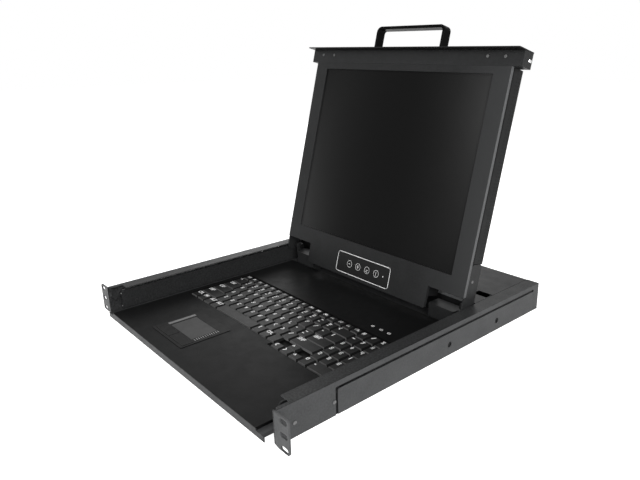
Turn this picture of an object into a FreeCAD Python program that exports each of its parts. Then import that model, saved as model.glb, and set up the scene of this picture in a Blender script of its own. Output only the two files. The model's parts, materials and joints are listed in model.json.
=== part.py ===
import FreeCAD, Part
import math
import os

os.makedirs("parts", exist_ok=True)

V = FreeCAD.Vector

# Rackmount LCD console drawer.  All sizes are in mm.
# X is to the right, Y runs back from the front face of the ears and Z up from the bottom
# edge of the rails.  save() moves every piece so that the origin is the centre of the
# ear hole pattern, on the faces that seat on the rack posts.
# The display head is written in its own frame: x across, n back from the bezel face
# and v up the bezel; place_head() swings it about the hinge axis.

# ---- general sheet work
sheet = 1.0
thin_gap = 0.3
slide_fit = 0.1
screw_radius = 1.5
screw_head_radius = 2.2
screw_head_height = 0.8
screw_slot_width = 0.7
screw_slot_depth = 0.4
shank_sides = 8
head_sides = 12
button_sides = 16
race_sides = 12

# ---- ears (19 inch rack, one unit high)
ear_thickness = 2.0
ear_reach = 22.2
ear_hole_inset = 8.75
ear_hole_pitch = 15.875
ear_hole_z = 20.0
ear_slot_length = 12.5
ear_slot_height = 6.0
ear_bottom = 0.0
ear_top = 41.0
ear_corner = 4.0
ear_relief_x = 8.0
ear_relief_z = 2.0
ear_leg_length = 80.0
ear_leg_step = 3.0
ear_leg_corner = 4.0
ear_screw_front_y = 23.0
ear_screw_rear_y = 76.0
ear_screw_z = 17.5

# ---- rails
rail_half_width = 219.1
rail_length = 478.5
rail_height = 41.3
rail_sheet = 2.0
panel_sheet = 1.2
rail_front_length = 78.0
panel_gap = 3.5
panel_top_z = 31.3
panel_setback = 13.5
panel_corner = 2.0
panel_hole_radius = 3.9
panel_hole_front_y = 270.5
panel_hole_rear_y = 373.5
panel_hole_z = 14.7
flange_sheet = 1.5
flange_width = 20.1
flange_front_y = 21.5
front_flange_y = 5.0
front_flange_width = 3.3
foot_width = 10.0
foot_front_y = 100.0
tie_sheet = 1.5
tie_window_x = 150.0
tie_window_bottom = 5.0
tie_window_top = 36.0

# ---- ball bearing slides, three members each side
slide_z = 19.5
slide_front_y = 16.0
slide_width = 13.1
slide_length = 440.0
middle_length = 430.0
slide_half_height = 17.5
slide_sheet = 1.2
ball_radius = 1.6
race_clearance = 0.05
race_offset = 0.9
outer_ball_setback = 4.7
inner_ball_setback = 3.6
race_lip = 2.3
member_gap = 0.8
cage_sheet = 0.6
cage_web = 0.3
cage_lip = 2.1
inner_cage_web = 0.5
inner_cage_setback = 6.3
outer_member_gap = 1.5
cage_front_y = 186.0
cage_length = 140.0
balls_per_row = 4
rivet_radius = 2.0
rivet_first_y = 110.0
rivet_pitch = 300.0
rivets_per_slide = 2
ball_sides = 8
ball_ring_angle = 55.0

# ---- drawer tray
wall_sheet = 2.0
wall_front_y = 15.2
wall_top_z = 36.4
wall_corner = 3.0
tray_setback = 9.5
tray_bottom_z = 0.3
tray_floor_inset = 18.0
shelf_z = 7.0
lip_overhang = 1.0
lip_front_y = -5.7
cover_inset = 14.0
cover_top_z = 10.5
cover_rear_y = 322.0
wall_screw_y = 35.4
wall_screw_z = 15.6

# ---- keyboard
key_left_x = -180.3
key_pitch = 19.05
key_row_y = (223.2, 209.7, 190.9, 171.3, 152.5, 132.9, 114.5)
key_main_width = 288.7
key_numpad_width = 55.0
key_field_front_y = 107.2
row_plans = ((1.31, 12), (1.75, 12), (2.01, 11), (2.46, 10))
first_units = 1.015
space_units = 4.99
last_units = (1.03, 0.97, 0.985)
arrow_left_x = 50.0
key_top_z = 10.1
key_skirt_z = 6.9
key_gap = 1.1
key_taper_x = 5.05
key_taper_y = 2.55
stem_side = 4.0
stem_end_z = 4.2
well_margin = 2.4
well_slope = 1.6
base_wall = 1.8
base_top_z = 4.7
base_sheet = 1.5
membrane_sheet = 0.5

# ---- touchpad
pad_frame_left_x = -103.6
pad_frame_right_x = -20.7
pad_frame_front_y = 17.7
pad_frame_rear_y = 90.0
pad_left_x = -92.0
pad_right_x = -32.0
pad_front_y = 38.6
pad_rear_y = 77.0
pad_flange = 1.3
pad_flange_sheet = 0.6
pad_frame_bottom_z = 5.5
pad_sheet = 1.3
pad_drop = 0.2
pad_corner = 1.2
pad_button_front_y = 20.4
pad_button_rear_y = 36.4
pad_button_inset = 2.2
pad_button_split = 1.4
pad_button_rise = 0.3
pad_button_height = 4.2
pad_button_room = 0.7

# ---- indicators
indicator_x = (105.8, 122.3, 137.3)
indicator_y = 246.0
indicator_radius = 1.4
indicator_height = 2.0

# ---- rear electronics box
box_front_y = 358.0
box_fit = 0.6
box_slot_edge = 1.2
box_slot_width = 23.2
box_slot_front_y = 377.0
box_slot_rear_y = 391.0
box_tongue_width = 16.4
box_tongue_front_y = 350.5
box_rear_gap = 1.0
board_half_width = 150.0
board_front_y = 380.0
board_setback = 7.0
board_sheet = 1.6
board_lift = 4.5
post_side = 5.0
post_inset = 8.0
chip_side = 24.0
chip_height = 2.0
chip_setback = 20.0
chip_place = 0.383142
controller_chip_x = (-90.0, -20.0, 70.0)
video_socket_x = -60.0
video_socket_width = 31.0
video_socket_height = 12.5
usb_socket_x = (0.0, 30.0)
usb_socket_width = 14.5
usb_socket_height = 7.5
usb_tongue_inset = 2.0
usb_tongue_low = 3.0
usb_tongue_high = 4.5
socket_wall = 0.8
socket_mouth = 4.0
video_shell_inset = 6.0
video_shell_lift = 2.0
video_shell_slant = 1.5
power_bore_wall = 2.0
power_bore_depth = 6.0
power_pin_side = 1.8
power_socket_x = 90.0
power_socket_radius = 5.5
socket_depth = 14.0
socket_reach = 1.2

# ---- hinge
hinge_y = 339.2
hinge_z = 35.2
head_tilt = 14.84
shaft_radius = 3.0
shaft_fit = 0.05
knuckle_radius = 5.0
knuckle_length = 6.0
knuckle_bottom_z = 18.0
block_width = 46.0
block_knuckle_room = 5.0
block_front_y = 325.0
block_rear_y = 347.0
block_top_z = 30.0
block_corner = 5.0
nut_radius = 5.0
nut_length = 3.2
stack_radius = 5.6
shaft_flange_radius = 8.0
shaft_flange_length = 1.6
stack_length = 2.5

# ---- display head, n back from the bezel face, v up the bezel
hinge_n = 21.2
hinge_v = -1.5
head_fit = 0.8
bezel_bottom_v = -18.4
bezel_top_v = 324.7
bezel_sheet = 1.5
bezel_fold = 4.7
bezel_fold_sheet = 1.2
bezel_corner = 2.0
notch_room = 0.4
notch_v = 14.5
bezel_side = 27.2
screen_bottom_v = 39.9
screen_top_v = 314.3
head_depth = 27.0
head_groove = 0.6
shell_bottom_v = -1.0
shell_inset = 0.2
shell_joggle = 1.6
shell_sheet = 1.2
panel_overlap = 7.0
panel_bottom_v = 33.0
panel_top_v = 319.0
panel_depth = 10.0
active_inset = 2.05
active_bottom_v = 42.0
active_top_v = 312.3
active_recess = 0.4
bracket_sheet = 2.0
bracket_foot = 12.0
bracket_bottom_v = 80.0
bracket_top_v = 290.0
bracket_front_gap = 2.5
driver_half_width = 70.0
driver_bottom_v = 100.0
driver_top_v = 200.0
driver_sheet = 1.6
driver_lift = 5.0
driver_chip_x = (-40.0, 10.0)
arm_sheet = 2.0
arm_bottom_v = -10.0
arm_top_v = 62.0
arm_end_radius = 9.0
arm_screw_v = 37.6
arm_screw_n = 13.0
arm_front_n = 1.0
arm_top_corner = 3.0
arm_seat_depth = 0.9

# ---- on screen display controls
osd_half_width = 60.5
osd_bottom_v = -13.4
osd_top_v = 21.0
osd_sheet = 0.4
osd_corner = 4.0
osd_button_x = (-30.0, -10.0, 10.8, 31.5)
osd_button_v = 4.3
osd_button_radius = 4.2
osd_button_rise = 0.3
osd_button_depth = 3.0
osd_button_fit = 0.08

# ---- top bar, front plate, handle and latch
bar_fit = 6.5
bar_depth = 20.0
bar_length = 20.5
bar_sheet = 1.5
bar_end_block = 7.0
plate_overhang = 0.3
plate_sheet = 1.5
plate_lip = 14.0
plate_rear_n = 21.0
plate_corner = 0.9
bar_screw_x = (157.3, 185.5)
bar_screw_rise = 12.3
handle_half_width = 69.5
handle_reach = 36.5
handle_thickness = 4.5
handle_depth = 15.0
handle_corner = 9.0
handle_n = 12.5
handle_edge = 1.2
handle_screw_grip = 7.0
handle_screw_room = 2.0
bolt_v_rise = 10.0
bolt_n = 15.2
bolt_width = 3.4
bolt_height = 6.0
bolt_length = 13.0
bolt_show = 0.7
bolt_room = 0.5

# ---- lines shared by mating pieces
ear_half_span = rail_half_width + ear_reach
ear_hole_x = ear_half_span - ear_hole_inset
web_x = rail_half_width - rail_sheet
flange_edge_x = rail_half_width - flange_width
panel_rear_y = rail_length - panel_setback
tray_rear_y = rail_length - tray_setback
board_rear_y = tray_rear_y - board_setback
wall_outer_x = web_x - slide_width
lip_half_width = wall_outer_x + lip_overhang
cover_half_width = wall_outer_x - cover_inset
tray_floor_x = wall_outer_x - tray_floor_inset
box_half_width = flange_edge_x - box_fit
box_slot_outer_x = box_half_width - box_slot_edge
box_slot_inner_x = box_slot_outer_x - box_slot_width
box_tongue_inner_x = box_half_width - box_tongue_width
bezel_half_width = flange_edge_x - head_fit
screen_half_width = bezel_half_width - bezel_side
panel_half_width = screen_half_width + panel_overlap
active_half_width = screen_half_width - active_inset
bar_half_width = rail_half_width - bar_fit
plate_half_width = bar_half_width + plate_overhang
recess_x = rail_half_width - panel_sheet
flange_z = rail_height - flange_sheet
groove_radius = ball_radius + race_clearance
outer_ball_x = web_x - outer_ball_setback
inner_ball_x = wall_outer_x + inner_ball_setback
outer_ball_w = slide_half_height - groove_radius - slide_sheet
outer_flange_w = outer_ball_w + race_offset
middle_flange_w = outer_ball_w - race_offset - slide_sheet
inner_ball_w = middle_flange_w - race_offset
inner_flange_w = inner_ball_w - race_offset - slide_sheet
outer_back_x = web_x - slide_sheet
middle_back_x = outer_back_x - member_gap - slide_sheet
wall_inner_x = wall_outer_x - wall_sheet
tray_floor_z = tray_bottom_z + sheet
cover_under_z = cover_top_z - sheet
rail_rear_inner_y = rail_length - tie_sheet
bar_top_v = bezel_top_v + bar_length
plate_top_v = bar_top_v + plate_sheet
bolt_v = bezel_top_v + bolt_v_rise
shell_front_n = bezel_fold + head_groove
arm_inner_x = bezel_half_width - arm_sheet
knuckle_outer_x = arm_inner_x - shaft_flange_length - stack_length - slide_fit
knuckle_inner_x = knuckle_outer_x - knuckle_length
block_outer_x = knuckle_inner_x - block_knuckle_room
block_inner_x = block_outer_x - block_width
notch_x = block_inner_x - notch_room
key_right_x = key_left_x + key_main_width + key_numpad_width


# ---- helpers
def box(x0, x1, y0, y1, z0, z1):
    """Upright box between two corners."""
    return Part.makeBox(x1 - x0, y1 - y0, z1 - z0, V(x0, y0, z0))


def rod(start, direction, radius, length):
    """Round bar from a start point along a direction."""
    return Part.makeCylinder(radius, length, start, direction)


def peg(start, direction, radius, length, sides):
    """Straight many-sided bar whose corners lie on the given radius."""
    across = V(direction.y, direction.z, direction.x)
    other = direction.cross(across)
    corners = []
    for i in range(sides):
        turn = 2.0 * math.pi * (i + 0.5) / sides
        corners.append(start + across * (radius * math.cos(turn))
                       + other * (radius * math.sin(turn)))
    face = Part.Face(Part.makePolygon(corners + corners[:1]))
    return face.extrude(direction * length)


def solid_of(rings):
    """Solid through closed rings of points with flat walls and flat ends."""
    faces = [Part.Face(Part.makePolygon(ring + ring[:1])) for ring in (rings[0], rings[-1])]
    count = len(rings[0])
    for low, high in zip(rings, rings[1:]):
        for i in range(count):
            j = (i + 1) % count
            faces.append(Part.Face(Part.makePolygon([low[i], low[j], high[j], high[i], low[i]])))
    return Part.Solid(Part.Shell(faces))


def join(shapes):
    """Fuse a list of solids into one clean solid."""
    whole = shapes[0].fuse(shapes[1:]) if len(shapes) > 1 else shapes[0]
    return whole.removeSplitter()


def cut(shape, tools):
    """Cut all the tools from a shape."""
    return shape.cut(Part.makeCompound(tools)).removeSplitter()


def mirrored(shape):
    """The same piece on the left side."""
    return shape.mirror(V(0, 0, 0), V(1, 0, 0))


def on_plane(plane, level):
    """Map two coordinates to a point of a plane that is square to one axis."""
    if plane == "xy":
        return lambda a, b: V(a, b, level)
    if plane == "xz":
        return lambda a, b: V(a, level, b)
    return lambda a, b: V(level, a, b)


def corner_arc(before, point, after, radius):
    """Start, middle and end of the arc that rounds one corner of an outline."""
    to_before = (before - point).normalize()
    to_after = (after - point).normalize()
    half = to_before.getAngle(to_after) / 2.0
    bisector = (to_before + to_after).normalize()
    reach = radius / math.tan(half)
    middle = point + bisector * (radius / math.sin(half) - radius)
    return point + to_before * reach, middle, point + to_after * reach


def outline(plane, level, points):
    """Closed face from (a, b) or (a, b, corner radius) points."""
    place = on_plane(plane, level)
    spots = [place(p[0], p[1]) for p in points]
    radii = [p[2] if len(p) > 2 else 0.0 for p in points]
    corners = []
    for i, spot in enumerate(spots):
        if radii[i] > 0.0:
            after = spots[(i + 1) % len(spots)]
            corners.append(corner_arc(spots[i - 1], spot, after, radii[i]))
        else:
            corners.append((spot, None, spot))
    edges = []
    for i, corner in enumerate(corners):
        last = corners[i - 1][2]
        if last.distanceToPoint(corner[0]) > 1e-6:
            edges.append(Part.makeLine(last, corner[0]))
        if corner[1] is not None:
            edges.append(Part.Arc(corner[0], corner[1], corner[2]).toShape())
    return Part.Face(Part.Wire(edges))


def prism(plane, start, end, points):
    """Solid with the given outline between two levels of a plane."""
    direction = {"xy": V(0, 0, 1), "xz": V(0, 1, 0), "yz": V(1, 0, 0)}[plane]
    return outline(plane, start, points).extrude(direction * (end - start))


def rectangle(a0, a1, b0, b1, radius=0.0):
    """Corner points of a rectangle, all corners rounded alike."""
    return [(a0, b0, radius), (a1, b0, radius), (a1, b1, radius), (a0, b1, radius)]


def clipped(a0, a1, b0, b1, cut_off):
    """Corner points of a rectangle with its corners cut off at 45 degrees."""
    c = cut_off
    return [(a0 + c, b0), (a1 - c, b0), (a1, b0 + c), (a1, b1 - c), (a1 - c, b1), (a0 + c, b1),
            (a0, b1 - c), (a0, b0 + c)]


def slot(centre_a, centre_b, length, height, plane, start, end):
    """Obround through a sheet, long along the first axis of the plane."""
    points = rectangle(centre_a - length / 2, centre_a + length / 2,
                       centre_b - height / 2, centre_b + height / 2, height / 2 - 0.001)
    return prism(plane, start, end, points)


def screw(seat, direction, length):
    """Pan head screw: head outside the seat, shank along the direction, slotted head."""
    head = peg(seat, direction, screw_head_radius, -screw_head_height, head_sides)
    shank = peg(seat, direction, screw_radius, length, shank_sides)
    side = V(0, 0, 1) if abs(direction.z) < 0.5 else V(1, 0, 0)
    across = direction.cross(side)
    top = seat - direction * screw_head_height
    reach = screw_head_radius * 2.0
    blade = Part.makePolygon([
        top + side * (-reach / 2) + across * (-screw_slot_width / 2),
        top + side * (reach / 2) + across * (-screw_slot_width / 2),
        top + side * (reach / 2) + across * (screw_slot_width / 2),
        top + side * (-reach / 2) + across * (screw_slot_width / 2),
        top + side * (-reach / 2) + across * (-screw_slot_width / 2)])
    groove = Part.Face(blade).extrude(direction * screw_slot_depth)
    return join([head.cut(groove), shank])


def screw_hole(start, direction, length):
    """Hole that the shank of a screw fills."""
    return peg(start, direction, screw_radius, length, shank_sides)


def rivet_hole(x, y, length):
    """Hole or rivet across the sheets of a slide."""
    return peg(V(x, y, slide_z), V(1, 0, 0), rivet_radius, length, shank_sides)


def save(name, shapes):
    """Write one node, moved to the part frame."""
    shape = shapes[0] if len(shapes) == 1 else Part.makeCompound(shapes)
    moved = shape.copy()
    moved.translate(V(0, -ear_thickness, -ear_hole_z))
    moved.exportStep("parts/" + name + ".step")


def place_head(shape):
    """Swing a piece of the display head from its own frame to its place on the hinge."""
    moved = shape.copy()
    moved.translate(V(0, -hinge_n, -hinge_v))
    moved.rotate(V(0, 0, 0), V(1, 0, 0), -head_tilt)
    moved.translate(V(0, hinge_y, hinge_z))
    return moved


def save_head(name, shapes):
    """Write one node of the display head."""
    save(name, [place_head(s) for s in shapes])


# ---- fixed frame: ears, rails, panels, tie
def build_ear():
    """Right ear: slotted flange on the rack post and a leg along the inside of the rail."""
    inner_x = web_x - ear_thickness
    points = [(inner_x, ear_bottom + ear_relief_z),
              (inner_x + ear_relief_x, ear_bottom),
              (ear_half_span, ear_bottom, ear_corner),
              (ear_half_span, ear_top, ear_corner),
              (inner_x, ear_top)]
    flange = prism("xz", 0, ear_thickness, points)
    low = ear_bottom + ear_leg_step
    high = ear_top - ear_leg_step
    leg_points = [(0, low), (ear_leg_length - ear_leg_corner, low),
                  (ear_leg_length, low + ear_leg_corner),
                  (ear_leg_length, high - ear_leg_corner),
                  (ear_leg_length - ear_leg_corner, high), (0, high)]
    leg = prism("yz", inner_x, web_x, leg_points)
    holes = []
    for step in (-1, 0, 1):
        z = ear_hole_z + step * ear_hole_pitch
        holes.append(slot(ear_hole_x, z, ear_slot_length, ear_slot_height, "xz",
                          -1, ear_thickness + 1))
    strike_y = hinge_y - (bolt_v - hinge_v)
    strike_z = hinge_z + bolt_n - hinge_n
    room = bolt_room
    holes.append(box(inner_x - 1, web_x + 1,
                     strike_y - bolt_width / 2 - room, strike_y + bolt_width / 2 + room,
                     strike_z - bolt_height / 2 - room, strike_z + bolt_height / 2 + room))
    for y in (ear_screw_front_y, ear_screw_rear_y):
        holes.append(screw_hole(V(inner_x - 1, y, ear_screw_z), V(1, 0, 0), ear_thickness + 2))
    return cut(join([flange, leg]), holes)


def build_ear_screws():
    """Screws through the right rail into the leg of the ear."""
    seats = (ear_screw_front_y, ear_screw_rear_y)
    length = rail_sheet + ear_thickness
    return [screw(V(rail_half_width, y, ear_screw_z), V(-1, 0, 0), length) for y in seats]


def build_rail():
    """Right rail: recessed web, top flange with a cut back front and a short foot."""
    web = box(web_x, rail_half_width, ear_thickness, rail_length, 0, rail_height)
    flange = box(flange_edge_x, web_x, flange_front_y, rail_length, flange_z, rail_height)
    nose = box(web_x - front_flange_width, web_x, front_flange_y, flange_front_y,
               flange_z, rail_height)
    foot = box(web_x - foot_width, web_x, foot_front_y, rail_length, 0, flange_sheet)
    recess = prism("yz", recess_x, rail_half_width + 1,
                   [(rail_front_length, -1), (panel_rear_y + thin_gap, -1),
                    (panel_rear_y + thin_gap, panel_top_z + panel_gap, panel_corner),
                    (rail_front_length, panel_top_z + panel_gap, panel_corner)])
    holes = [recess]
    for y in (ear_screw_front_y, ear_screw_rear_y):
        holes.append(screw_hole(V(web_x - 1, y, ear_screw_z), V(1, 0, 0), rail_sheet + 2))
    for y in rivet_rows():
        holes.append(rivet_hole(web_x - 1, y, rail_sheet + 2))
    return cut(join([web, flange, nose, foot]), holes)


def build_outer_panel():
    """Right outer panel, flush in the recess of the rail."""
    body = prism("yz", recess_x, rail_half_width,
                 [(rail_front_length + panel_gap, 0), (panel_rear_y, 0),
                  (panel_rear_y, panel_top_z),
                  (rail_front_length + panel_gap, panel_top_z, panel_corner)])
    holes = []
    for y in (panel_hole_front_y, panel_hole_rear_y):
        holes.append(peg(V(recess_x - 1, y, panel_hole_z), V(1, 0, 0), panel_hole_radius,
                         panel_sheet + 2, button_sides))
    return cut(body, holes)


def build_rear_tie():
    """Plate across the back that ties the two rails, open behind the drawer sockets."""
    body = box(-web_x, web_x, rail_rear_inner_y, rail_length, flange_sheet, flange_z)
    window = box(-tie_window_x, tie_window_x, rail_rear_inner_y - 1, rail_length + 1,
                 tie_window_bottom, tie_window_top)
    return cut(body, [window])


# ---- ball bearing slides
def rivet_rows():
    """Places of the rivets along one slide."""
    return [rivet_first_y + i * rivet_pitch for i in range(rivets_per_slide)]


def race(x, w, radius):
    """Long many-sided bar on the line of a ball row, longer than any member."""
    start = V(x, slide_front_y - slide_length, slide_z + w)
    return peg(start, V(0, 1, 0), radius, slide_length * 3, race_sides)


def band(x0, x1, y0, y1, w0, w1, side):
    """Box of a slide member; w counts from the slide centre, side is +1 above, -1 below."""
    low = slide_z + min(side * w0, side * w1)
    high = slide_z + max(side * w0, side * w1)
    return box(x0, x1, y0, y1, low, high)


def rolled_race(x, w, y0, y1, w0, w1, side):
    """Rolled bulge of the sheet behind a ball groove."""
    clip = band(x - slide_half_height, x + slide_half_height, y0, y1, w0, w1, side)
    return race(x, side * w, ball_radius + race_clearance + slide_sheet).common(clip)


def build_slide_outer():
    """Outer member: channel on the rail web behind the ear, a rolled race in each flange."""
    y0 = ear_leg_length + outer_member_gap
    y1 = slide_front_y + slide_length
    far = slide_half_height + slide_sheet
    top = outer_flange_w + slide_sheet
    pieces = [box(outer_back_x, web_x, y0, y1, slide_z - top, slide_z + top)]
    for side in (1, -1):
        pieces.append(band(outer_ball_x - race_lip, web_x, y0, y1, outer_flange_w, top, side))
        pieces.append(rolled_race(outer_ball_x, outer_ball_w, y0, y1, outer_flange_w, far, side))
    tools = [race(outer_ball_x, side * outer_ball_w, groove_radius) for side in (1, -1)]
    tools += [rivet_hole(outer_back_x - 1, y, slide_sheet + 2) for y in rivet_rows()]
    return cut(join(pieces), tools)


def build_slide_middle():
    """Middle member: channel with races on both sides of each flange."""
    y0 = slide_front_y + (slide_length - middle_length) / 2
    y1 = y0 + middle_length
    top = middle_flange_w + slide_sheet
    far = slide_half_height
    pieces = [box(middle_back_x, middle_back_x + slide_sheet, y0, y1,
                  slide_z - top, slide_z + top)]
    for side in (1, -1):
        pieces.append(band(inner_ball_x - race_lip, middle_back_x + slide_sheet, y0, y1,
                           middle_flange_w, top, side))
        pieces.append(rolled_race(outer_ball_x, outer_ball_w, y0, y1, 0, top, side))
        pieces.append(rolled_race(inner_ball_x, inner_ball_w, y0, y1, middle_flange_w, far, side))
    tools = [race(outer_ball_x, side * outer_ball_w, groove_radius) for side in (1, -1)]
    tools += [race(inner_ball_x, side * inner_ball_w, groove_radius) for side in (1, -1)]
    return cut(join(pieces), tools)


def build_slide_inner():
    """Inner member: channel on the drawer wall with a race on each flange."""
    y0 = slide_front_y
    y1 = slide_front_y + slide_length
    top = inner_flange_w + slide_sheet
    pieces = [box(wall_outer_x, wall_outer_x + slide_sheet, y0, y1,
                  slide_z - top, slide_z + top)]
    for side in (1, -1):
        pieces.append(band(wall_outer_x, inner_ball_x + race_lip, y0, y1,
                           inner_flange_w, top, side))
        pieces.append(rolled_race(inner_ball_x, inner_ball_w, y0, y1, 0, inner_flange_w, side))
    tools = [race(inner_ball_x, side * inner_ball_w, groove_radius) for side in (1, -1)]
    tools += [rivet_hole(wall_outer_x - 1, y, slide_sheet + 2) for y in rivet_rows()]
    return cut(join(pieces), tools)


def ball_rows():
    """Places of the balls along one cage."""
    step = cage_length / balls_per_row
    return [cage_front_y + step * (i + 0.5) for i in range(balls_per_row)]


def build_cage(ball_x, ball_w, x0, x1, web_x0, web_x1):
    """Ball cage: a strip over and under with a window for every ball, joined by a web."""
    y0 = cage_front_y
    y1 = cage_front_y + cage_length
    half = cage_sheet / 2
    pieces = [box(web_x0, web_x1, y0, y1, slide_z - ball_w - half, slide_z + ball_w + half)]
    tools = []
    for side in (1, -1):
        pieces.append(band(x0, x1, y0, y1, ball_w - half, ball_w + half, side))
        for y in ball_rows():
            room = ball_radius + race_clearance / 2
            tools.append(band(ball_x - room, ball_x + room, y - room, y + room,
                              ball_w - cage_sheet, ball_w + cage_sheet, side))
    return cut(join(pieces), tools)


def build_outer_cage():
    """Cage between the outer and the middle member."""
    web_x1 = outer_back_x - (member_gap - cage_web) / 2
    web_x0 = web_x1 - cage_web
    return build_cage(outer_ball_x, outer_ball_w, outer_ball_x - cage_lip, web_x1,
                      web_x0, web_x1)


def build_inner_cage():
    """Cage between the middle and the inner member."""
    web_x0 = wall_outer_x + inner_cage_setback
    web_x1 = web_x0 + inner_cage_web
    return build_cage(inner_ball_x, inner_ball_w, inner_ball_x - cage_lip, web_x1,
                      web_x0, web_x1)


def build_ball(centre):
    """One ball in flat facets, its corners on the ball radius, its poles along the slide."""
    rings = []
    for tilt in (-ball_ring_angle, 0.0, ball_ring_angle):
        radius = ball_radius * math.cos(math.radians(tilt))
        back = ball_radius * math.sin(math.radians(tilt))
        ring = []
        for i in range(ball_sides):
            turn = 2.0 * math.pi * i / ball_sides
            ring.append(centre + V(radius * math.cos(turn), back, radius * math.sin(turn)))
        rings.append(ring)
    return solid_of(rings)


def build_balls(ball_x, ball_w):
    """Balls of one level of the slides, both sides of the drawer."""
    balls = []
    for side in (1, -1):
        for y in ball_rows():
            ball = build_ball(V(ball_x, y, slide_z + side * ball_w))
            balls.append(ball)
            balls.append(mirrored(ball))
    return balls


def build_rivets(x0, x1):
    """Flush rivets through two sheets, both sides of the drawer."""
    rivets = []
    for y in rivet_rows():
        rivet = rivet_hole(x0, y, x1 - x0)
        rivets.append(rivet)
        rivets.append(mirrored(rivet))
    return rivets


# ---- drawer tray
def build_tray_pan():
    """Pan: floor, raised side shelves, side walls and the front lip."""
    floor = box(-tray_floor_x, tray_floor_x, lip_front_y, tray_rear_y,
                tray_bottom_z, tray_floor_z)
    lip = prism("xz", lip_front_y, lip_front_y + sheet,
                [(-lip_half_width, tray_bottom_z), (lip_half_width, tray_bottom_z),
                 (lip_half_width, shelf_z), (cover_half_width, shelf_z),
                 (cover_half_width, cover_under_z), (-cover_half_width, cover_under_z),
                 (-cover_half_width, shelf_z), (-lip_half_width, shelf_z)])
    riser = box(tray_floor_x - sheet, tray_floor_x, lip_front_y, tray_rear_y,
                tray_bottom_z, shelf_z)
    front_shelf = box(tray_floor_x - sheet, lip_half_width, lip_front_y, wall_front_y,
                      shelf_z - sheet, shelf_z)
    shelf = box(tray_floor_x - sheet, wall_outer_x, lip_front_y, tray_rear_y,
                shelf_z - sheet, shelf_z)
    wall = prism("yz", wall_inner_x, wall_outer_x,
                 [(wall_front_y, shelf_z - sheet), (tray_rear_y, shelf_z - sheet),
                  (tray_rear_y, wall_top_z - wall_corner), (tray_rear_y - wall_corner, wall_top_z),
                  (wall_front_y + wall_corner, wall_top_z),
                  (wall_front_y, wall_top_z - wall_corner)])
    tools = [rivet_hole(wall_inner_x - 1, y, wall_sheet + 2) for y in rivet_rows()]
    tools.append(screw_hole(V(wall_inner_x - 1, wall_screw_y, wall_screw_z), V(1, 0, 0),
                            wall_sheet + 2))
    side = cut(join([riser, front_shelf, shelf, wall]), tools)
    return join([floor, lip, side, mirrored(side)])


def well_outline(grow):
    """Outline of the keyboard well, stepped where the arrow keys reach forward."""
    left = key_left_x - well_margin - grow
    right = key_right_x + well_margin + grow
    rear = key_row_y[0] + well_margin + grow
    main_front = key_row_y[6] - well_margin - grow
    field_front = key_field_front_y - well_margin - grow
    step = arrow_left_x - well_margin - grow
    return [(left, main_front), (step, main_front), (step, field_front),
            (right, field_front), (right, rear), (left, rear)]


def build_tray_cover():
    """Cover plate with the keyboard well, the touchpad opening and the indicator holes."""
    top = box(-cover_half_width, cover_half_width, lip_front_y, cover_rear_y,
              cover_under_z, cover_top_z)
    side = box(cover_half_width - sheet, cover_half_width, lip_front_y + sheet, cover_rear_y,
               shelf_z, cover_top_z)
    back = box(-(tray_floor_x - sheet), tray_floor_x - sheet, cover_rear_y - sheet,
               cover_rear_y, tray_floor_z, cover_top_z)
    tools = [prism("xy", cover_under_z - 1, cover_top_z + 1, well_outline(0.0)),
             box(pad_frame_left_x, pad_frame_right_x, pad_frame_front_y, pad_frame_rear_y,
                 cover_under_z - 1, cover_top_z + 1)]
    for x in indicator_x:
        tools.append(peg(V(x, indicator_y, cover_under_z - 1), V(0, 0, 1), indicator_radius,
                         sheet + 2, head_sides))
    return cut(join([top, side, mirrored(side), back]), tools)


def build_indicators():
    """Light pipes of the three lock indicators."""
    base = cover_top_z - indicator_height
    return [peg(V(x, indicator_y, base), V(0, 0, 1), indicator_radius, indicator_height,
                head_sides) for x in indicator_x]


# ---- keyboard
def row_cells(widths, left, rear, front):
    """Cells of one row from their widths, left to right."""
    cells = []
    x = left
    for width in widths:
        cells.append((x, x + width, front, rear))
        x += width
    return cells


def function_cells():
    """Seventeen narrow keys over the main block."""
    width = key_main_width / 17.0
    return row_cells([width] * 17, key_left_x, key_row_y[0], key_row_y[1])


def main_cells():
    """Number row, three letter rows and the keys beside the space bar."""
    p = key_pitch
    rows = []
    for i, (first, count) in enumerate(row_plans):
        last = key_main_width - first * p - count * p
        widths = [first * p] + [p] * count + [last]
        rows += row_cells(widths, key_left_x, key_row_y[i + 1], key_row_y[i + 2])
    rows += row_cells([first_units * p] * 4, key_left_x, key_row_y[5], key_row_y[6])
    right = key_left_x + (4 * first_units + space_units) * p
    rows += row_cells([units * p for units in last_units], right, key_row_y[5], key_row_y[6])
    return rows


def space_cells():
    """The space bar."""
    left = key_left_x + 4 * first_units * key_pitch
    return row_cells([space_units * key_pitch], left, key_row_y[5], key_row_y[6])


def arrow_cells():
    """Four half height arrow keys in an inverted T."""
    width = (key_left_x + key_main_width - arrow_left_x) / 3.0
    split = (key_row_y[5] + key_field_front_y) / 2.0
    cells = row_cells([width] * 3, arrow_left_x, split, key_field_front_y)
    cells += row_cells([width], arrow_left_x + width, key_row_y[5], split)
    return cells


def numpad_cells():
    """Number pad: five full rows of three and a last row with a double key."""
    left = key_left_x + key_main_width
    width = key_numpad_width / 3.0
    depth = (key_row_y[0] - key_field_front_y) / 6.0
    cells = []
    for row in range(5):
        rear = key_row_y[0] - depth * row
        cells += row_cells([width] * 3, left, rear, rear - depth)
    rear = key_row_y[0] - depth * 5
    cells += row_cells([width, 2 * width], left, rear, rear - depth)
    return cells


def all_cells():
    """Every key cell of the keyboard."""
    return function_cells() + main_cells() + space_cells() + arrow_cells() + numpad_cells()


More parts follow.
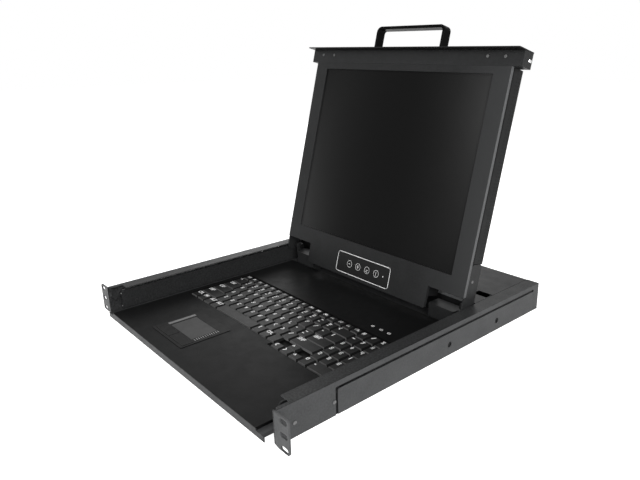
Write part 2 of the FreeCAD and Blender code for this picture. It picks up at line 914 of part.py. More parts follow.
def stem_spots(cell):
    """Stem centres of a key: one, or two under a long bar."""
    x0, x1, y0, y1 = cell
    middle = (y0 + y1) / 2.0
    if x1 - x0 > 3 * key_pitch:
        inset = (x1 - x0) / 4.0
        return [(x0 + inset, middle), (x1 - inset, middle)]
    return [((x0 + x1) / 2.0, middle)]


def build_key(cell):
    """Key cap with tapered sides and a square stem down into the base."""
    x0, x1, y0, y1 = cell
    g = key_gap / 2.0
    tx = key_taper_x / 2.0
    ty = key_taper_y / 2.0
    low = [V(x0 + g, y0 + g, key_skirt_z), V(x1 - g, y0 + g, key_skirt_z),
           V(x1 - g, y1 - g, key_skirt_z), V(x0 + g, y1 - g, key_skirt_z)]
    high = [V(x0 + tx, y0 + ty, key_top_z), V(x1 - tx, y0 + ty, key_top_z),
            V(x1 - tx, y1 - ty, key_top_z), V(x0 + tx, y1 - ty, key_top_z)]
    half = stem_side / 2.0
    stems = [box(x - half, x + half, y - half, y + half, stem_end_z, key_skirt_z)
             for x, y in stem_spots(cell)]
    return join([solid_of([low, high])] + stems)


def guide_rows():
    """Stem line of every key row as (first x, last x, y)."""
    rows = {}
    for x, y in [spot for cell in all_cells() for spot in stem_spots(cell)]:
        block = x > key_left_x + key_main_width
        rows.setdefault((block, round(y, 3)), []).append(x)
    return [(min(xs), max(xs), y) for (block, y), xs in rows.items()]


def build_keyboard_base():
    """Keyboard base: sloped well, sheet with a guide slot under every key row, edge walls."""
    block = prism("xy", tray_floor_z, cover_under_z, well_outline(base_wall))
    low = [V(a, b, base_top_z) for a, b in well_outline(-well_slope)]
    high = [V(a, b, cover_under_z) for a, b in well_outline(0.0)]
    well = solid_of([low, high])
    under = prism("xy", tray_floor_z - 1, base_top_z - base_sheet, well_outline(0.0))
    half = stem_side / 2.0 + slide_fit
    guides = [box(x0 - half, x1 + half, y - half, y + half, base_top_z - base_sheet - 1,
                  base_top_z + 1) for x0, x1, y in guide_rows()]
    return cut(block.cut(well).cut(under), guides)


def build_membrane():
    """Contact membrane on the floor under the keyboard."""
    return prism("xy", tray_floor_z, tray_floor_z + membrane_sheet, well_outline(-thin_gap))


# ---- touchpad
def pad_button_spans():
    """X spans of the left and the right button."""
    left = pad_frame_left_x + pad_button_inset
    right = pad_frame_right_x - pad_button_inset
    middle = (left + right) / 2.0
    return [(left, middle - pad_button_split / 2), (middle + pad_button_split / 2, right)]


def build_pad_frame():
    """Touchpad frame: flange on the cover, body through it, pad recess, button wells."""
    f = pad_flange
    top_z = cover_top_z + pad_flange_sheet
    flange = prism("xy", cover_top_z, top_z,
                   clipped(pad_frame_left_x - f, pad_frame_right_x + f,
                           pad_frame_front_y - f, pad_frame_rear_y + f, pad_corner))
    body = box(pad_frame_left_x, pad_frame_right_x, pad_frame_front_y, pad_frame_rear_y,
               pad_frame_bottom_z, cover_top_z)
    pad_z = top_z - pad_drop - pad_sheet
    tools = [box(pad_left_x, pad_right_x, pad_front_y, pad_rear_y, pad_z, top_z + 1)]
    bottom = top_z + pad_button_rise - pad_button_height - pad_button_room
    for x0, x1 in pad_button_spans():
        tools.append(box(x0 - slide_fit, x1 + slide_fit, pad_button_front_y - slide_fit,
                         pad_button_rear_y + slide_fit, bottom, top_z + 1))
    return cut(join([flange, body]), tools)


def build_pad():
    """Touch surface in the recess of its frame."""
    top_z = cover_top_z + pad_flange_sheet - pad_drop
    return box(pad_left_x, pad_right_x, pad_front_y, pad_rear_y, top_z - pad_sheet, top_z)


def build_pad_button(span):
    """One touchpad button."""
    top_z = cover_top_z + pad_flange_sheet + pad_button_rise
    body = box(span[0], span[1], pad_button_front_y, pad_button_rear_y,
               top_z - pad_button_height, top_z)
    edges = [e for e in body.Edges if min(v.Z for v in e.Vertexes) > top_z - 0.01]
    return body.makeChamfer(pad_button_rise, edges)


# ---- rear electronics box
def box_face(top_z):
    """Outline of the box seen from the front; it steps down between the tray shelves."""
    side = box_half_width
    low = tray_floor_x - sheet
    return [(-side, shelf_z), (-low, shelf_z), (-low, tray_floor_z), (low, tray_floor_z),
            (low, shelf_z), (side, shelf_z), (side, top_z), (-side, top_z)]


def build_rear_cover():
    """Lid over the electronics: sides, front wall, front tongues, two slots, rear overhang."""
    under = rail_height - sheet
    rear = rail_length - box_rear_gap
    top = box(-box_half_width, box_half_width, box_front_y, rear, under, rail_height)
    side = box(box_half_width - sheet, box_half_width, box_front_y, tray_rear_y - sheet,
               shelf_z, rail_height)
    tongue = box(box_tongue_inner_x, box_half_width, box_tongue_front_y, box_front_y + sheet,
                 under, rail_height)
    front = prism("xz", box_front_y, box_front_y + sheet, box_face(rail_height))
    opening = box(box_slot_inner_x, box_slot_outer_x, box_slot_front_y, box_slot_rear_y,
                  under - 1, rail_height + 1)
    pieces = [top, side, mirrored(side), tongue, mirrored(tongue), front]
    return cut(join(pieces), [opening, mirrored(opening)])


def socket_floor_z():
    """Top of the controller board, where the sockets stand."""
    return tray_floor_z + board_lift + board_sheet


def video_points(grow):
    """D shaped outline of the video socket."""
    x = video_socket_x
    w = video_socket_width / 2.0 - video_shell_inset + grow
    z0 = socket_floor_z() + video_shell_lift - grow
    z1 = socket_floor_z() + video_socket_height - video_shell_lift + grow
    s = video_shell_slant
    return [(x - w + s, z0), (x + w - s, z0), (x + w, z1), (x - w, z1)]


def build_rear_panel():
    """Back plate of the box with the openings for the sockets."""
    plate = prism("xz", tray_rear_y - sheet, tray_rear_y, box_face(rail_height - sheet))
    y0 = tray_rear_y - sheet - 1
    y1 = tray_rear_y + 1
    base = socket_floor_z()
    tools = [prism("xz", y0, y1, video_points(thin_gap))]
    for x in usb_socket_x:
        half = usb_socket_width / 2.0 + thin_gap
        tools.append(box(x - half, x + half, y0, y1, base - thin_gap,
                         base + usb_socket_height + thin_gap))
    tools.append(peg(V(power_socket_x, y0, base + power_socket_radius), V(0, 1, 0),
                     power_socket_radius + thin_gap, sheet + 2, button_sides))
    return cut(plate, tools)


def build_usb_socket(x, front, back):
    """One USB socket: a tin shell around its tongue."""
    base = socket_floor_z()
    half = usb_socket_width / 2.0
    mouth_y = tray_rear_y - sheet - socket_mouth
    body = box(x - half, x + half, front, back, base, base + usb_socket_height)
    mouth = box(x - half + socket_wall, x + half - socket_wall, mouth_y, back + 1,
                base + socket_wall, base + usb_socket_height - socket_wall)
    tongue = box(x - half + usb_tongue_inset, x + half - usb_tongue_inset, mouth_y, back - 1,
                 base + usb_tongue_low, base + usb_tongue_high)
    return join([body.cut(mouth), tongue])


def build_sockets():
    """Video, two USB and the power socket, hollow towards the back."""
    base = socket_floor_z()
    back = tray_rear_y + socket_reach
    front = back - socket_depth
    inner = tray_rear_y - sheet
    shell = prism("xz", inner, back, video_points(0.0))
    flange = box(video_socket_x - video_socket_width / 2, video_socket_x + video_socket_width / 2,
                 front, inner, base, base + video_socket_height)
    video = cut(join([shell, flange]), [prism("xz", inner, back + 1, video_points(-socket_wall))])
    centre = base + power_socket_radius
    bore_y = inner - power_bore_depth
    barrel = peg(V(power_socket_x, front, centre), V(0, 1, 0), power_socket_radius,
                 back - front, button_sides)
    bore = peg(V(power_socket_x, bore_y, centre), V(0, 1, 0),
               power_socket_radius - power_bore_wall, back - bore_y + 1, button_sides)
    half = power_pin_side / 2.0
    pin = box(power_socket_x - half, power_socket_x + half, bore_y, inner, centre - half,
              centre + half)
    usb = [build_usb_socket(x, front, back) for x in usb_socket_x]
    return [video, join([barrel.cut(bore), pin])] + usb


def build_controller_board():
    """Controller board on four posts with a few large packages."""
    z0 = tray_floor_z + board_lift
    z1 = z0 + board_sheet
    half = post_side / 2.0
    pieces = [box(-board_half_width, board_half_width, board_front_y, board_rear_y, z0, z1)]
    for x in (-board_half_width + post_inset, board_half_width - post_inset):
        for y in (board_front_y + post_inset, board_rear_y - chip_setback):
            pieces.append(box(x - half, x + half, y - half, y + half, tray_floor_z, z0))
    free = tray_rear_y + socket_reach - socket_depth - board_front_y - chip_side
    chip_y = board_front_y + free * chip_place
    for x in controller_chip_x:
        pieces.append(box(x, x + chip_side, chip_y, chip_y + chip_side, z1, z1 + chip_height))
    return join(pieces)


# ---- hinge
def build_hinge_block():
    """Right hinge block: foot on the tray floor and a knuckle beside it for the shaft."""
    foot = prism("xy", tray_floor_z, block_top_z,
                 [(block_inner_x, block_front_y), (block_outer_x, block_front_y, block_corner),
                  (block_outer_x, block_rear_y), (block_inner_x, block_rear_y)])
    r = knuckle_radius
    lug = box(block_outer_x - sheet, knuckle_outer_x, hinge_y - r, hinge_y + r,
              knuckle_bottom_z, block_top_z)
    neck = box(knuckle_inner_x, knuckle_outer_x, hinge_y - r, hinge_y + r, block_top_z,
               hinge_z)
    knuckle = rod(V(knuckle_inner_x, hinge_y, hinge_z), V(1, 0, 0), r,
                  knuckle_outer_x - knuckle_inner_x)
    bore = rod(V(knuckle_inner_x - 1, hinge_y, hinge_z), V(1, 0, 0), shaft_radius + shaft_fit,
               knuckle_outer_x - knuckle_inner_x + 2)
    return cut(join([foot, lug, neck, knuckle]), [bore])


def build_shaft():
    """Right friction shaft: nut, bar, disc spring stack and the flange welded to the arm."""
    axis = V(1, 0, 0)
    nut_x = knuckle_inner_x - slide_fit - nut_length
    stack_x = knuckle_outer_x + slide_fit
    flange_x = arm_inner_x - shaft_flange_length
    bar = rod(V(nut_x, hinge_y, hinge_z), axis, shaft_radius, flange_x - nut_x)
    nut = peg(V(nut_x, hinge_y, hinge_z), axis, nut_radius, nut_length, 6)
    stack = peg(V(stack_x, hinge_y, hinge_z), axis, stack_radius, flange_x - stack_x,
                head_sides)
    flange = peg(V(flange_x, hinge_y, hinge_z), axis, shaft_flange_radius,
                 shaft_flange_length, head_sides)
    return join([bar, nut, stack, flange])


def build_arm():
    """Right hinge arm: plate on the side of the head, rounded below, with a screw seat."""
    r = arm_end_radius
    c = arm_top_corner
    front = bezel_fold + slide_fit
    step = notch_v - thin_gap
    outer_x = arm_inner_x + arm_sheet
    body = prism("yz", arm_inner_x, outer_x,
                 [(arm_front_n, arm_bottom_v, r), (head_depth, arm_bottom_v, r),
                  (head_depth, arm_top_v - c), (head_depth - c, arm_top_v),
                  (front + c, arm_top_v), (front, arm_top_v - c), (front, step),
                  (arm_front_n, step)])
    hole = screw_hole(V(arm_inner_x - 1, arm_screw_n, arm_screw_v), V(1, 0, 0), arm_sheet + 2)
    seat = peg(V(outer_x - arm_seat_depth, arm_screw_n, arm_screw_v), V(1, 0, 0),
               screw_head_radius + slide_fit, arm_seat_depth + 1, head_sides)
    return cut(body, [hole, seat])


# ---- display head, in its own frame
def bezel_points(inset, corner=0.0):
    """Outline of the bezel: notched at both lower corners for the hinge blocks."""
    w = bezel_half_width - inset
    n = notch_x - inset
    low = bezel_bottom_v + inset
    step = notch_v + inset
    top = bezel_top_v - inset
    return [(-n, low, corner), (n, low, corner), (n, step), (w, step, corner), (w, top),
            (-w, top), (-w, step, corner), (-n, step)]


def shell_points(inset):
    """Outline of the rear shell: set in beside the hinge arms, open below the buttons."""
    w = bezel_half_width - shell_inset - inset
    a = arm_inner_x - inset
    n = notch_x - shell_inset - inset
    low = shell_bottom_v + inset
    step = notch_v + shell_inset + inset
    arm = arm_top_v + 1.0 + inset
    top = bezel_top_v - shell_inset - inset
    return [(-n, low), (n, low), (n, step), (a, step), (a, arm), (w, arm), (w, top),
            (-w, top), (-w, arm), (-a, arm), (-a, step), (-n, step)]


def button_holes(radius, n0, n1):
    """Tools on the button places."""
    return [peg(V(x, n0, osd_button_v), V(0, 1, 0), radius, n1 - n0, button_sides)
            for x in osd_button_x]


def build_bezel():
    """Front bezel with folded edges, the screen opening and the button holes."""
    body = prism("xz", 0, bezel_fold, bezel_points(0.0, bezel_corner))
    room = prism("xz", bezel_sheet, bezel_fold + 1, bezel_points(bezel_fold_sheet))
    screen = box(-screen_half_width, screen_half_width, -1, bezel_sheet + 1,
                 screen_bottom_v, screen_top_v)
    tools = [room, screen] + button_holes(osd_button_radius + osd_button_fit, -1,
                                          bezel_sheet + 1)
    return cut(body, tools)


def build_shell():
    """Rear shell: box with a joggled rim that stands inside the folds of the bezel."""
    rim = shell_joggle
    back = prism("xz", shell_front_n, head_depth, shell_points(0.0))
    front = prism("xz", bezel_sheet, shell_front_n + shell_sheet, shell_points(rim))
    cavity = prism("xz", shell_front_n + shell_sheet, head_depth - shell_sheet,
                   shell_points(shell_sheet))
    mouth = prism("xz", bezel_sheet - 1, shell_front_n + shell_sheet + 1,
                  shell_points(rim + shell_sheet))
    reach = max(abs(x) for x in osd_button_x) + osd_button_radius + thin_gap
    holes = [box(-reach, reach, 0, osd_button_depth + sheet, shell_bottom_v - 1,
                 osd_button_v + osd_button_radius + thin_gap)]
    for x in (arm_inner_x - shell_sheet - 2, -arm_inner_x - 2):
        holes.append(screw_hole(V(x, arm_screw_n, arm_screw_v), V(1, 0, 0), shell_sheet + 4))
    return cut(join([back, front]), [cavity, mouth] + holes)


def build_panel():
    """Display panel with its active face just below the rim."""
    n0 = bezel_sheet
    body = box(-panel_half_width, panel_half_width, n0, n0 + panel_depth,
               panel_bottom_v, panel_top_v)
    face = box(-active_half_width, active_half_width, n0 - 1, n0 + active_recess,
               active_bottom_v, active_top_v)
    return cut(body, [face])


def build_bracket():
    """Right bracket that ties the display panel to the back of the shell."""
    x0 = panel_half_width
    end = head_depth - shell_sheet
    web = box(x0, x0 + bracket_sheet, bezel_sheet + bracket_front_gap, end, bracket_bottom_v,
              bracket_top_v)
    foot = box(x0, x0 + bracket_foot, end - bracket_sheet, end, bracket_bottom_v, bracket_top_v)
    return join([web, foot])


def build_driver_board():
    """Display driver board on posts inside the back of the shell."""
    n1 = head_depth - shell_sheet - driver_lift
    n0 = n1 - driver_sheet
    half = post_side / 2.0
    pieces = [box(-driver_half_width, driver_half_width, n0, n1, driver_bottom_v, driver_top_v)]
    for x in (-driver_half_width + post_inset, driver_half_width - post_inset):
        for v in (driver_bottom_v + post_inset, driver_top_v - post_inset):
            pieces.append(box(x - half, x + half, n1, n1 + driver_lift, v - half, v + half))
    chip_v = driver_bottom_v + chip_setback
    for x in driver_chip_x:
        pieces.append(box(x, x + chip_side, n0 - chip_height, n0, chip_v, chip_v + chip_side))
    return join(pieces)


def build_overlay():
    """Thin control overlay below the screen."""
    body = prism("xz", -osd_sheet, 0,
                 rectangle(-osd_half_width, osd_half_width, osd_bottom_v, osd_top_v, osd_corner))
    return cut(body, button_holes(osd_button_radius + osd_button_fit, -osd_sheet - 1, 1))


def build_osd_button(x):
    """One round push button through overlay and bezel."""
    front = -osd_sheet - osd_button_rise
    return peg(V(x, front, osd_button_v), V(0, 1, 0), osd_button_radius,
               osd_button_depth - front, button_sides)


def handle_screw_spots():
    """Centres of the two handle feet."""
    x = handle_half_width - handle_thickness / 2.0
    return [x, -x]


def build_top_bar():
    """Bar along the top of the head: trough with solid ends that guide the latch bolts."""
    w = bar_half_width
    body = box(-w, w, 0, bar_depth, bezel_top_v, bar_top_v)
    trough = box(-w + bar_end_block, w - bar_end_block, bar_sheet, bar_depth - bar_sheet,
                 bezel_top_v + bar_sheet, bar_top_v + 1)
    guide = bolt_box(0, w + 1, slide_fit)
    holes = [screw_hole(V(sign * x, -1, bezel_top_v + bar_screw_rise), V(0, 1, 0),
                        bar_sheet + 1) for x in bar_screw_x for sign in (1, -1)]
    return cut(body, [trough, guide, mirrored(guide)] + holes)


def bolt_box(x0, x1, grow):
    """Box on the line of the right latch bolt."""
    return box(x0, x1, bolt_n - bolt_height / 2 - grow, bolt_n + bolt_height / 2 + grow,
               bolt_v - bolt_width / 2 - grow, bolt_v + bolt_width / 2 + grow)


def build_bolt():
    """Right latch bolt, drawn back, with a chamfered nose."""
    tip = bar_half_width + bolt_show
    body = bolt_box(tip - bolt_length, tip, 0.0)
    edges = [e for e in body.Edges if min(v.X for v in e.Vertexes) > tip - 0.01]
    return body.makeChamfer(bolt_show / 2.0, edges)


def build_front_plate():
    """Front plate that closes the rack opening when the drawer is shut."""
    body = prism("xy", bar_top_v, plate_top_v,
                 clipped(-plate_half_width, plate_half_width, -plate_lip, plate_rear_n,
                         plate_corner))
    holes = [screw_hole(V(x, handle_n, bar_top_v - 1), V(0, 0, 1), plate_sheet + 2)
             for x in handle_screw_spots()]
    return cut(body, holes)


def build_handle():
    """Bow handle: flat bar bent to a U, feet on the front plate."""
    w = handle_half_width
    t = handle_thickness
    top = plate_top_v + handle_reach
    n0 = handle_n - handle_depth / 2.0
    n1 = handle_n + handle_depth / 2.0
    body = prism("xz", n0, n1,
                 [(-w, plate_top_v), (-w + t, plate_top_v),
                  (-w + t, top - t, handle_corner - t), (w - t, top - t, handle_corner - t),
                  (w - t, plate_top_v), (w, plate_top_v), (w, top, handle_corner),
                  (-w, top, handle_corner)])
    long_edges = [e for e in body.Edges if abs(e.BoundBox.YLength) < 0.01
                  and e.BoundBox.ZMax > plate_top_v + 0.01]
    eased = body.makeChamfer(handle_edge / 2.0, long_edges)
    holes = [screw_hole(V(x, handle_n, plate_top_v - 1), V(0, 0, 1),
                        handle_screw_grip + handle_screw_room) for x in handle_screw_spots()]
    return cut(eased, holes)


def build_head_screws():
    """Screws of the head: top bar, hinge arms and handle feet."""
    screws = []
    for x in bar_screw_x:
        for sign in (1, -1):
            screws.append(screw(V(sign * x, 0, bezel_top_v + bar_screw_rise), V(0, 1, 0),
                                bar_sheet))
    seat_x = arm_inner_x + arm_sheet - arm_seat_depth
    arm = screw(V(seat_x, arm_screw_n, arm_screw_v), V(-1, 0, 0),
                arm_sheet - arm_seat_depth + shell_inset + shell_sheet)
    screws += [arm, mirrored(arm)]
    for x in handle_screw_spots():
        screws.append(screw(V(x, handle_n, bar_top_v), V(0, 0, 1),
                            plate_sheet + handle_screw_grip))
    return screws


# ---- write every node
ear = build_ear()
rail = build_rail()
outer_panel = build_outer_panel()
ear_screws = build_ear_screws()
slide_outer = build_slide_outer()
slide_middle = build_slide_middle()
slide_inner = build_slide_inner()
outer_cage = build_outer_cage()
inner_cage = build_inner_cage()
hinge_block = build_hinge_block()
hinge_shaft = build_shaft()
hinge_arm = build_arm()
latch_bolt = build_bolt()
bracket = build_bracket()
pad_buttons = [build_pad_button(span) for span in pad_button_spans()]
wall_screw = screw(V(wall_inner_x, wall_screw_y, wall_screw_z), V(1, 0, 0), wall_sheet)

save("rack_rail_left", [mirrored(rail)])
save("rack_rail_right", [rail])
save("outer_panel_left", [mirrored(outer_panel)])
save("outer_panel_right", [outer_panel])
save("ear_left", [mirrored(ear)])
save("ear_right", [ear])
save("ear_screws", ear_screws + [mirrored(s) for s in ear_screws])
save("rear_tie", [build_rear_tie()])
save("slide_outer_left", [mirrored(slide_outer)])
save("slide_outer_right", [slide_outer])
save("slide_rivets", build_rivets(outer_back_x, recess_x))
save("slide_middle_left", [mirrored(slide_middle)])
save("slide_middle_right", [slide_middle])
save("outer_ball_cages", [outer_cage, mirrored(outer_cage)])
save("outer_balls", build_balls(outer_ball_x, outer_ball_w))
save("inner_ball_cages", [inner_cage, mirrored(inner_cage)])
save("inner_balls", build_balls(inner_ball_x, inner_ball_w))
save("slide_inner_left", [mirrored(slide_inner)])
save("slide_inner_right", [slide_inner])
save("drawer_rivets", build_rivets(wall_inner_x, wall_outer_x + slide_sheet))
save("drawer_screws", [wall_screw, mirrored(wall_screw)])
save("tray_pan", [build_tray_pan()])
save("tray_cover", [build_tray_cover()])
save("indicator_lights", build_indicators())
save("keyboard_base", [build_keyboard_base()])
save("keyboard_membrane", [build_membrane()])
save("function_keys", [build_key(cell) for cell in function_cells()])
save("main_keys", [build_key(cell) for cell in main_cells()])
save("space_bar", [build_key(cell) for cell in space_cells()])
save("arrow_keys", [build_key(cell) for cell in arrow_cells()])
save("numpad_keys", [build_key(cell) for cell in numpad_cells()])
save("touchpad_frame", [build_pad_frame()])
save("touchpad_surface", [build_pad()])
save("touchpad_button_left", [pad_buttons[0]])
save("touchpad_button_right", [pad_buttons[1]])
save("hinge_block_left", [mirrored(hinge_block)])
save("hinge_block_right", [hinge_block])
save("rear_cover", [build_rear_cover()])
save("rear_panel", [build_rear_panel()])
save("rear_sockets", build_sockets())
save("controller_board", [build_controller_board()])
save("hinge_shafts", [hinge_shaft, mirrored(hinge_shaft)])
save_head("hinge_arm_left", [mirrored(hinge_arm)])
save_head("hinge_arm_right", [hinge_arm])
save_head("lcd_bezel", [build_bezel()])
save_head("lcd_rear_shell", [build_shell()])
save_head("lcd_panel", [build_panel()])
save_head("lcd_brackets", [bracket, mirrored(bracket)])
save_head("lcd_driver_board", [build_driver_board()])
save_head("osd_overlay", [build_overlay()])
for number, place in enumerate(osd_button_x):
    save_head("osd_button_" + str(number + 1), [build_osd_button(place)])
save_head("top_bar", [build_top_bar()])
save_head("front_plate", [build_front_plate()])
save_head("handle", [build_handle()])
save_head("head_screws", build_head_screws())
save_head("latch_bolt_left", [mirrored(latch_bolt)])
save_head("latch_bolt_right", [latch_bolt])
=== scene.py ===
import json
import math

import bpy
from mathutils import Matrix, Vector

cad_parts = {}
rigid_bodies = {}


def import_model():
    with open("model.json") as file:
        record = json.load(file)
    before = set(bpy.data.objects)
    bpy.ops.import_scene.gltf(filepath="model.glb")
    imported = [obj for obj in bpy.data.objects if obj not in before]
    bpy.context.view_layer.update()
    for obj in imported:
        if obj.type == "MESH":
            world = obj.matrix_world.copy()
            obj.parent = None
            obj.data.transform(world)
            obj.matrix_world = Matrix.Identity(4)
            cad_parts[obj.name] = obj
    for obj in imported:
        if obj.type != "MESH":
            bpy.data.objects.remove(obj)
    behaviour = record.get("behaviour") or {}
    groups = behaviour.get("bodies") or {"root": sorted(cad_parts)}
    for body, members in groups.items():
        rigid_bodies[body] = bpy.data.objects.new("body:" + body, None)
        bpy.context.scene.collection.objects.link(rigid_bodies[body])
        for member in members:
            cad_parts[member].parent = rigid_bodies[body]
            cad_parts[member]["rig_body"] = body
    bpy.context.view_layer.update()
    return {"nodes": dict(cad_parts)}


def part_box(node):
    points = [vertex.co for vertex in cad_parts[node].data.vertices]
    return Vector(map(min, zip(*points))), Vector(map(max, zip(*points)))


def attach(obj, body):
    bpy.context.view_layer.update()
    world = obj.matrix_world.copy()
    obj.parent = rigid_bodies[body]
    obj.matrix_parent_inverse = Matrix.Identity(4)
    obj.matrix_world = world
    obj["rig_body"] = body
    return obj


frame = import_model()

NODES = frame["nodes"]
scene = bpy.context.scene

# ---------------------------------------------------------------- sizes
# In metres in the row frame, unless a name or a comment says millimetres.
EAR_SHIFT_Y = 0.002          # ears' front face to the row frame's origin
EAR_SHIFT_Z = 0.020          # rails' bottom edge to the row frame's origin
HINGE = Vector((0.0, 0.3372, 0.0152))
HINGE_N = 0.0212             # the hinge in the head's own frame: back from the bezel's face
HINGE_V = -0.0015            # and up the bezel
TILT = math.radians(14.84)

# Where one material gets painted light or shade on a piece.
RECESS_X = 0.2179            # floor of the rail's recess, round the outer panel
RECESS_REACH = 0.0004
FLANGE_Z = 0.02125           # top flange of the rail
TRAY_WALL_X = 0.2005
BEZEL_RIM_X = 0.1978
BEZEL_LIGHT_X = 0.11          # painted light on the bezel grows from here to the right
BEZEL_LIGHT_RATE = 11.0
BOX_FRONT_Y = 0.3562
BOX_FRONT_REACH = 0.0014
BOX_FRONT_Z = 0.0125
BOX_FRONT_X = 0.1815
EAR_LEG_X = 0.2169
SHELL_SIDE_X = 0.1975
SHELL_GAP = 0.0075           # depth of the gap behind the bezel's rim
DOT_PITCH = 0.0048
DOT_ROWS = 4.0               # pitches from the bezel's face to the middle of the rows
DOT_SIZE = 0.06              # squared radius, in pitches

# Surface of the coats.
EDGE = 0.0004                # softened edges
SOFT_EDGE = 0.0007
BOW_EDGE = 0.0012
TINT = 0.02                  # the coats lean to blue
GLOSS = 0.25                 # share of every specular level that is used
SPECK = 0.24                 # strength and scale of the fine light specks
SPECK_SCALE = 420.0
SPECK_TONE = 2.2
NOISE_LOW, NOISE_HIGH = 0.3, 0.7             # where most of a noise texture lies

# Base tones of the painted light and shade that the materials' masks lay on, and the screen's own
# tone.
RECESS_SHADE_TONE = 0.0004
FLANGE_SHADE_TONE = 0.010
TRAY_WALL_SHADE_TONE = 0.012
BEZEL_RIGHT_LIGHT_TONE = 0.030
BEZEL_RIM_HIGHLIGHT_TONE = 0.10
BOX_FRONT_LIGHT_TONE = 0.20
EAR_LEG_SHADE_TONE = 0.006
HOLE_SHADE_TONE = 0.0005
KEY_FRONT_LIGHT_TONE = 0.11
KEY_FLANK_SHADE_TONE = 0.002
SCREEN_TONE = 0.002
SCREEN_PAINTED_SHEEN_TONE = 0.028

# Parts of the normal beyond which a key's face is its front, with painted light, or its flank,
# with painted shade.
KEY_FRONT_SLOPE = -0.2
KEY_FLANK_SLOPE = 0.3

# The painted sheen of the screen grows to its sides as a power of x, and fades by a slant in x and
# z.
SHEEN_RATE, SHEEN_POWER = 6.0, 2.5
SLANT_RATE, SLANT_LEVEL, SLANT_Z = 22.0, 0.6, 0.188


def part_point(x, y, z):
    """A point in mm from the ears' front face and the rails' bottom edge, in the row frame."""
    return Vector((x / 1000.0, y / 1000.0 - EAR_SHIFT_Y, z / 1000.0 - EAR_SHIFT_Z))


def head_point(x, n, v):
    """A point of the display head (mm: across, back, up the bezel) in the row frame."""
    y = n / 1000.0 - HINGE_N
    z = v / 1000.0 - HINGE_V
    c, s = math.cos(TILT), math.sin(TILT)
    return HINGE + Vector((x / 1000.0, y * c + z * s, -y * s + z * c))


# ---------------------------------------------------------------- materials
class Nodes:
    """Small helper that builds a shader tree."""

    def __init__(self, name):
        self.mat = bpy.data.materials.new(name)
        self.mat.use_nodes = True
        self.tree = self.mat.node_tree
        self.tree.nodes.clear()
        self.out = self.add("ShaderNodeOutputMaterial")
        self._coords = None
        self._axes = None

    def add(self, kind, **values):
        node = self.tree.nodes.new(kind)
        for key, value in values.items():
            setattr(node, key, value)
        return node

    def link(self, a, b):
        self.tree.links.new(a, b)

    def put(self, value, socket):
        """Sets a socket to a number or colour, or links it to another socket."""
        if isinstance(value, (int, float, tuple)):
            socket.default_value = value
        else:
            self.link(value, socket)

    def set(self, node, **values):
        for key, value in values.items():
            node.inputs[key.replace("_", " ")].default_value = value
        return node

    def math(self, op, *values, clamp=False):
        node = self.add("ShaderNodeMath", operation=op, use_clamp=clamp)
        for socket, value in zip(node.inputs, values):
            self.put(value, socket)
        return node.outputs[0]

    def mix(self, factor, a, b):
        node = self.add("ShaderNodeMix", data_type="RGBA")
        factor_socket, a_socket, b_socket = node.inputs[0], node.inputs[6], node.inputs[7]
        self.put(factor, factor_socket)
        self.put(a, a_socket)
        self.put(b, b_socket)
        return node.outputs[2]

    def coords(self):
        if self._coords is None:
            self._coords = self.add("ShaderNodeTexCoord").outputs["Object"]
        return self._coords

    def axis(self, name):
        """One coordinate of the point, in metres in the row frame."""
        if self._axes is None:
            self._axes = self.add("ShaderNodeSeparateXYZ")
            self.link(self.coords(), self._axes.inputs[0])
        return self._axes.outputs[name]

    def noise(self, scale, detail=3.0, rough=0.55, vector=None):
        node = self.add("ShaderNodeTexNoise")
        self.set(node, Scale=scale, Detail=detail, Roughness=rough)
        self.link(self.coords() if vector is None else vector, node.inputs["Vector"])
        return node.outputs["Fac"]

    def ramp(self, fac, low, high):
        """A noise value, spread from low to high."""
        node = self.add("ShaderNodeMapRange")
        self.set(node, From_Min=NOISE_LOW, From_Max=NOISE_HIGH, To_Min=low, To_Max=high)
        self.link(fac, node.inputs["Value"])
        return node.outputs["Result"]

    def bump(self, height, strength, distance, edge=0.0):
        node = self.add("ShaderNodeBump")
        self.set(node, Strength=strength, Distance=distance)
        self.link(height, node.inputs["Height"])
        if edge:
            soft = self.add("ShaderNodeBevel", samples=4)
            self.set(soft, Radius=edge)
            self.link(soft.outputs["Normal"], node.inputs["Normal"])
        return node.outputs["Normal"]

    def near(self, value, centre, reach):
        """1 where a value is within reach of the centre, else 0."""
        away = self.math("ABSOLUTE", self.math("SUBTRACT", value, centre))
        return self.math("LESS_THAN", away, reach)

    def inside(self, x):
        """1 nearer to the middle plane than x, else 0."""
        return self.math("LESS_THAN", self.math("ABSOLUTE", self.axis("X")), x)

    def outside(self, x):
        """1 further from the middle plane than x, else 0."""
        return self.math("GREATER_THAN", self.math("ABSOLUTE", self.axis("X")), x)

    def principled(self, metallic=0.0, specular=0.5):
        node = self.add("ShaderNodeBsdfPrincipled")
        self.set(node, Metallic=metallic, Specular_IOR_Level=specular)
        self.link(node.outputs[0], self.out.inputs["Surface"])
        return node


def grey(v, tint=0.0):
    return (v * (1 - tint), v, v * (1 + tint), 1.0)


